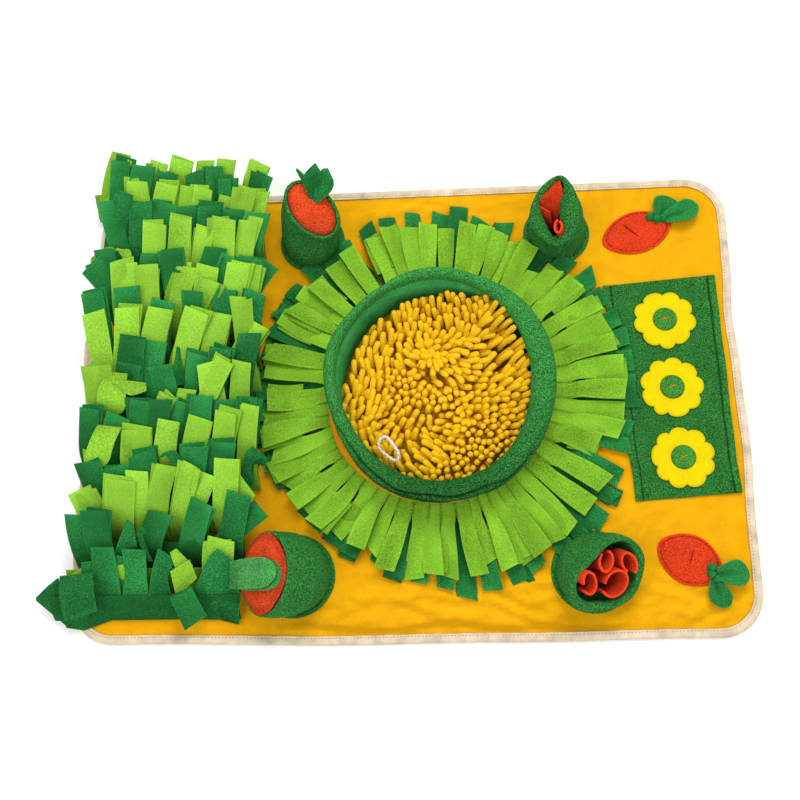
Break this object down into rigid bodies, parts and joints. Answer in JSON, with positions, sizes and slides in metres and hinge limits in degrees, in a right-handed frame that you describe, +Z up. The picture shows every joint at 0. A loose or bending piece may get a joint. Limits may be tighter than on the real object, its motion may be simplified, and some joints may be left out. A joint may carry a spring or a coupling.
{
  "type": "snuffle mat",
  "caption": "Flat fleece pet mat with rows of cut fleece grass, a padded bowl of chenille noodles in petal skirts, corner pouches, and sewn felt flowers and carrots.",
  "frame": {"origin": "middle of the mat's underside, on the surface it lies on", "axes": "+X from the grass side to the flower side, +Y to the far long side, +Z up"},
  "size_m": [0.729, 0.525, 0.1068],
  "materials": {
    "mat_fleece": "smooth fleece",
    "binding_tape": "woven tape, stitched",
    "light_fleece": "anti-pill fleece",
    "dark_fleece": "anti-pill fleece",
    "leaf_fleece": "brushed fleece",
    "wall_fleece": "smooth fleece",
    "chenille": "chenille pile",
    "white_cord": "twisted cord",
    "carrot_fleece": "brushed fleece",
    "roll_fleece": "brushed fleece",
    "carrot_felt": "felt",
    "patch_fleece": "anti-pill fleece",
    "yellow_felt": "felt"
  },
  "bodies": {
    "root": {"mat_base": "mat_fleece", "edge_binding": "binding_tape", "grass_row_01": "dark_fleece", "grass_row_02": "light_fleece", "grass_row_03": "dark_fleece", "grass_row_04": "light_fleece", "grass_row_05": "dark_fleece", "grass_row_06": "light_fleece", "grass_row_07": "dark_fleece", "grass_row_08": "light_fleece", "grass_row_09": "dark_fleece", "grass_row_10": "light_fleece", "grass_row_11": "dark_fleece", "grass_row_12": "light_fleece", "grass_row_13": "dark_fleece", "grass_row_14": "light_fleece", "grass_row_15": "dark_fleece", "grass_row_16": "light_fleece", "grass_row_17": "dark_fleece", "grass_row_18": "light_fleece", "skirt_light": "light_fleece", "skirt_dark": "dark_fleece", "bowl_wall": "wall_fleece", "bowl_lining": "dark_fleece", "bowl_rim": "dark_fleece", "noodle_pad": "chenille", "pull_loop": "white_cord", "pouch_tl": "dark_fleece", "pouch_tr": "dark_fleece", "pouch_bl": "dark_fleece", "pouch_br": "dark_fleece", "carrot_tl": "carrot_fleece", "carrot_bl": "carrot_fleece", "carrot_tl_leaves": "dark_fleece", "carrot_bl_leaf": "leaf_fleece", "roll_br_1": "roll_fleece", "roll_br_2": "roll_fleece", "roll_br_3": "roll_fleece", "roll_br_4": "roll_fleece", "strip_tr_1": "roll_fleece", "strip_tr_2": "roll_fleece", "flower_patch": "patch_fleece", "flower_1": "yellow_felt", "flower_2": "yellow_felt", "flower_3": "yellow_felt", "flower_centre_1": "leaf_fleece", "flower_centre_2": "leaf_fleece", "flower_centre_3": "leaf_fleece", "carrot_patch_top": "carrot_felt", "carrot_patch_low": "carrot_felt", "carrot_top_leaves": "leaf_fleece", "carrot_low_leaves": "leaf_fleece"}
  },
  "joints": []
}
